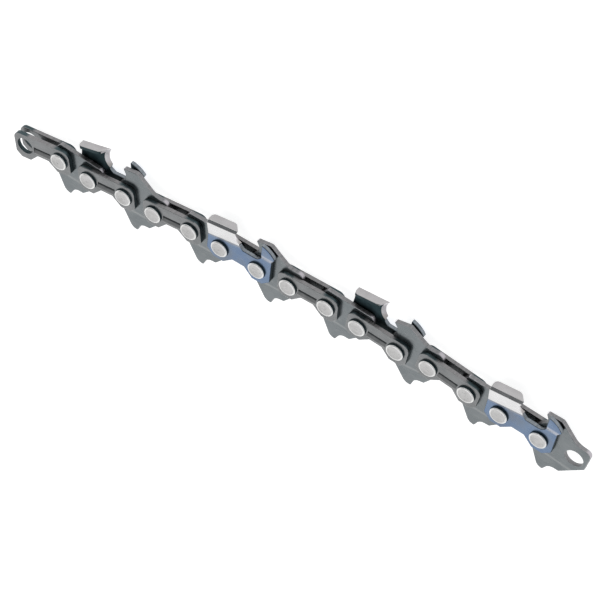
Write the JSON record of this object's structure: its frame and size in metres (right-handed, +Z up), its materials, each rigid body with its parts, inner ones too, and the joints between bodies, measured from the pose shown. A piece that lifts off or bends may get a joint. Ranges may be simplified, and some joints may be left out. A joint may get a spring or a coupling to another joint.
{
  "type": "saw chain length",
  "caption": "Open length of low-profile saw chain: cutters, tie straps, plain and bumper drive links pivoting on rivets.",
  "frame": {"origin": "on the surface that the chain lies on, under the middle of its overall box", "axes": "+X the way the chain runs, +Y the side that cuts, +Z up, the chain's right-hand side"},
  "size_m": [0.1552, 0.022, 0.0053],
  "materials": {
    "link_steel": "tumbled, dark",
    "strap_steel": "tumbled, dark",
    "cutter_steel": "chromed over blued steel",
    "rivet_steel": "bright, spun ends"
  },
  "bodies": {
    "side_link_1": {"left_tie_strap_1": "strap_steel", "right_tie_strap_1": "strap_steel", "rivet_01": "rivet_steel"},
    "drive_link_1": {"plain_drive_link_1": "link_steel"},
    "side_link_2": {"left_cutter_2": "cutter_steel", "right_tie_strap_2": "strap_steel", "rivet_02": "rivet_steel", "rivet_03": "rivet_steel"},
    "drive_link_2": {"bumper_drive_link_2": "link_steel"},
    "side_link_3": {"left_tie_strap_3": "strap_steel", "right_tie_strap_3": "strap_steel", "rivet_04": "rivet_steel", "rivet_05": "rivet_steel"},
    "drive_link_3": {"plain_drive_link_3": "link_steel"},
    "side_link_4": {"left_tie_strap_4": "strap_steel", "right_cutter_4": "cutter_steel", "rivet_06": "rivet_steel", "rivet_07": "rivet_steel"},
    "drive_link_4": {"bumper_drive_link_4": "link_steel"},
    "side_link_5": {"left_tie_strap_5": "strap_steel", "right_tie_strap_5": "strap_steel", "rivet_08": "rivet_steel", "rivet_09": "rivet_steel"},
    "drive_link_5": {"plain_drive_link_5": "link_steel"},
    "side_link_6": {"left_cutter_6": "cutter_steel", "right_tie_strap_6": "strap_steel", "rivet_10": "rivet_steel", "rivet_11": "rivet_steel"},
    "drive_link_6": {"bumper_drive_link_6": "link_steel"},
    "side_link_7": {"left_tie_strap_7": "strap_steel", "right_tie_strap_7": "strap_steel", "rivet_12": "rivet_steel", "rivet_13": "rivet_steel"},
    "drive_link_7": {"plain_drive_link_7": "link_steel"},
    "side_link_8": {"left_tie_strap_8": "strap_steel", "right_cutter_8": "cutter_steel", "rivet_14": "rivet_steel", "rivet_15": "rivet_steel"},
    "drive_link_8": {"bumper_drive_link_8": "link_steel"}
  },
  "joints": [
    {"name": "pivot_01", "type": "hinge", "parent": "drive_link_1", "child": "side_link_1", "pos_m": [-0.06437, -0.00044, 0.00265], "axis": [0, 0, 1], "range_deg": [-28.5, 16.5]},
    {"name": "pivot_02", "type": "hinge", "parent": "side_link_2", "child": "drive_link_1", "pos_m": [-0.05591, -0.00111, 0.00265], "axis": [0, 0, 1], "range_deg": [-3.7, 41.3]},
    {"name": "pivot_03", "type": "hinge", "parent": "drive_link_2", "child": "side_link_2", "pos_m": [-0.04583, 0.00009, 0.00265], "axis": [0, 0, 1], "range_deg": [-21.1, 23.9]},
    {"name": "pivot_04", "type": "hinge", "parent": "side_link_3", "child": "drive_link_2", "pos_m": [-0.03734, 0.0002, 0.00265], "axis": [0, 0, 1], "range_deg": [-8.4, 36.6]},
    {"name": "pivot_05", "type": "hinge", "parent": "drive_link_3", "child": "side_link_3", "pos_m": [-0.02727, 0.00149, 0.00265], "axis": [0, 0, 1], "range_deg": [-20.9, 24.1]},
    {"name": "pivot_06", "type": "hinge", "parent": "side_link_4", "child": "drive_link_3", "pos_m": [-0.01878, 0.00169, 0.00265], "axis": [0, 0, 1], "range_deg": [-16.9, 28.1]},
    {"name": "pivot_07", "type": "hinge", "parent": "drive_link_4", "child": "side_link_4", "pos_m": [-0.00863, 0.00161, 0.00265], "axis": [0, 0, 1], "range_deg": [-11.7, 33.3]},
    {"name": "pivot_08", "type": "hinge", "parent": "side_link_5", "child": "drive_link_4", "pos_m": [-0.00015, 0.00202, 0.00265], "axis": [0, 0, 1], "range_deg": [-15.8, 29.2]},
    {"name": "pivot_09", "type": "hinge", "parent": "side_link_5", "child": "drive_link_5", "pos_m": [0.00999, 0.00237, 0.00265], "axis": [0, 0, 1], "range_deg": [-24.3, 20.7]},
    {"name": "pivot_10", "type": "hinge", "parent": "drive_link_5", "child": "side_link_6", "pos_m": [0.01846, 0.00183, 0.00265], "axis": [0, 0, 1], "range_deg": [-29.6, 15.4]},
    {"name": "pivot_11", "type": "hinge", "parent": "side_link_6", "child": "drive_link_6", "pos_m": [0.02859, 0.0011, 0.00265], "axis": [0, 0, 1], "range_deg": [-40.3, 4.7]},
    {"name": "pivot_12", "type": "hinge", "parent": "drive_link_6", "child": "side_link_7", "pos_m": [0.03703, 0.00202, 0.00265], "axis": [0, 0, 1], "range_deg": [-16, 29]},
    {"name": "pivot_13", "type": "hinge", "parent": "side_link_7", "child": "drive_link_7", "pos_m": [0.04708, 0.00064, 0.00265], "axis": [0, 0, 1], "range_deg": [-34.6, 10.4]},
    {"name": "pivot_14", "type": "hinge", "parent": "drive_link_7", "child": "side_link_8", "pos_m": [0.05556, 0.00017, 0.00265], "axis": [0, 0, 1], "range_deg": [-29.7, 15.3]},
    {"name": "pivot_15", "type": "hinge", "parent": "side_link_8", "child": "drive_link_8", "pos_m": [0.06569, -0.00045, 0.00265], "axis": [0, 0, 1], "range_deg": [-25.7, 19.3]}
  ]
}
